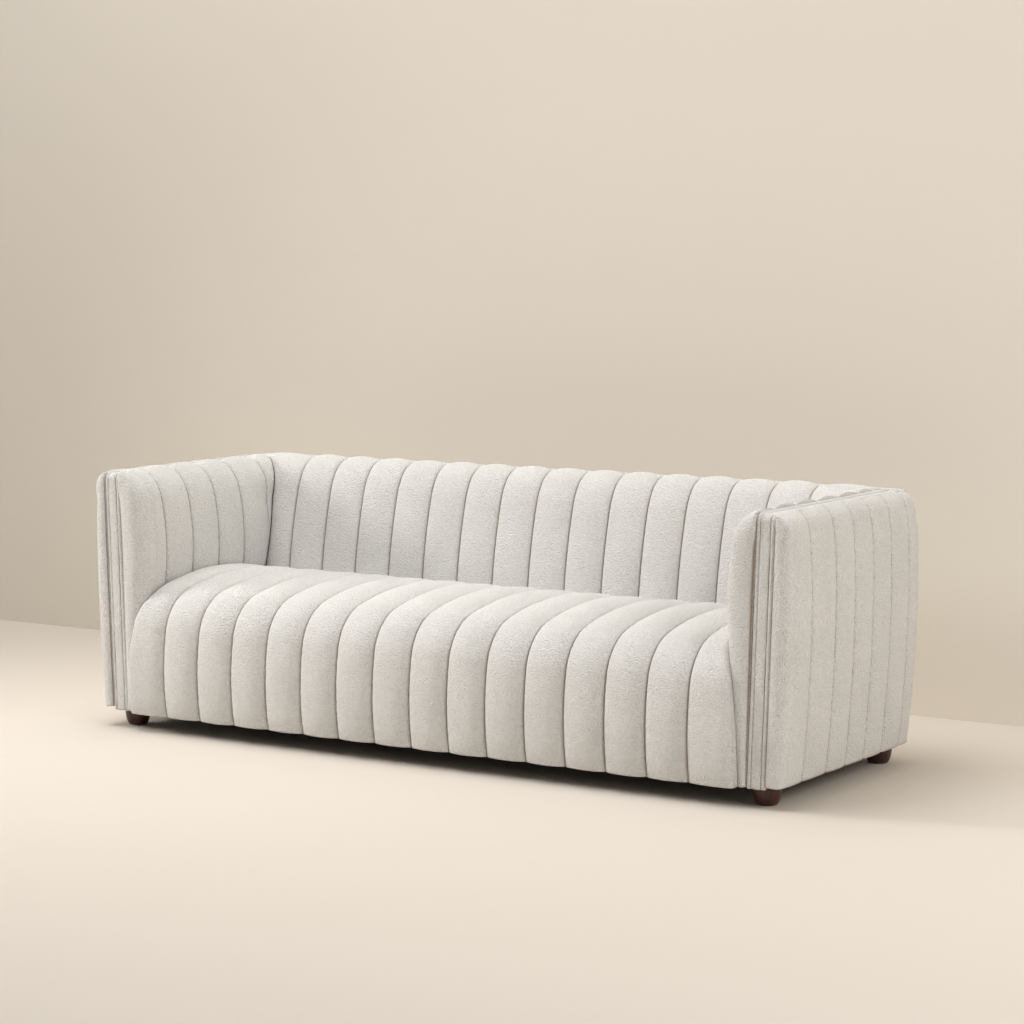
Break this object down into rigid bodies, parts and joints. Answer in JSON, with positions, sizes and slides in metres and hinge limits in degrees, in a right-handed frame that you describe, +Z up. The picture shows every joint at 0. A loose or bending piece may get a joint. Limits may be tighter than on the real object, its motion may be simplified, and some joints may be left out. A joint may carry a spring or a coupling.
{
  "type": "tuxedo sofa",
  "caption": "Long tuxedo sofa with arms as high as the back, upright channel tufting on every side, piped edges and low turned feet.",
  "frame": {"origin": "bottom centre of the bounding box, on the floor the feet stand on", "axes": "+X along the sofa's width to the right as seen from the front, +Y from the seat's front to the back, +Z up"},
  "size_m": [2.2368, 0.8378, 0.7435],
  "materials": {
    "upholstery": "ivory boucle",
    "piping": "ivory boucle",
    "foam": "open-cell foam",
    "frame_wood": "sawn hardwood",
    "foot_wood": "dark walnut stain, satin",
    "steel": "drawn wire",
    "webbing": "woven jute",
    "insulator": "bonded felt",
    "dust_cloth": "non-woven cloth"
  },
  "bodies": {
    "root": {"back_bottom_rail": "frame_wood", "back_channel_cover": "upholstery", "back_foam_core": "foam", "back_inner_piping": "piping", "back_outer_piping": "piping", "back_posts": "frame_wood", "back_tack_rail": "frame_wood", "back_top_rail": "frame_wood", "back_top_strip": "upholstery", "back_webbing": "webbing", "dust_cover": "dust_cloth", "front_left_foot": "foot_wood", "front_right_foot": "foot_wood", "front_seat_rail": "frame_wood", "hanger_bolts": "steel", "left_arm_base_rail": "frame_wood", "left_arm_foam": "foam", "left_arm_front_post": "frame_wood", "left_arm_inner_piping": "piping", "left_arm_outer_piping": "piping", "left_arm_rear_post": "frame_wood", "left_arm_strip": "upholstery", "left_arm_tack_rail": "frame_wood", "left_arm_top_rail": "frame_wood", "left_arm_webbing": "webbing", "left_inner_arm_channels": "upholstery", "left_outer_arm_channels": "upholstery", "left_seat_rail": "frame_wood", "outer_back_channels": "upholstery", "rear_left_foot": "foot_wood", "rear_right_foot": "foot_wood", "rear_seat_rail": "frame_wood", "right_arm_base_rail": "frame_wood", "right_arm_foam": "foam", "right_arm_front_post": "frame_wood", "right_arm_inner_piping": "piping", "right_arm_outer_piping": "piping", "right_arm_rear_post": "frame_wood", "right_arm_strip": "upholstery", "right_arm_tack_rail": "frame_wood", "right_arm_top_rail": "frame_wood", "right_arm_webbing": "webbing", "right_inner_arm_channels": "upholstery", "right_outer_arm_channels": "upholstery", "right_seat_rail": "frame_wood", "seat_channel_cover": "upholstery", "seat_corner_blocks": "frame_wood", "seat_cross_rails": "frame_wood", "seat_foam_core": "foam", "seat_insulator_pad": "insulator", "seat_springs": "steel", "spring_clips": "steel"}
  },
  "joints": []
}
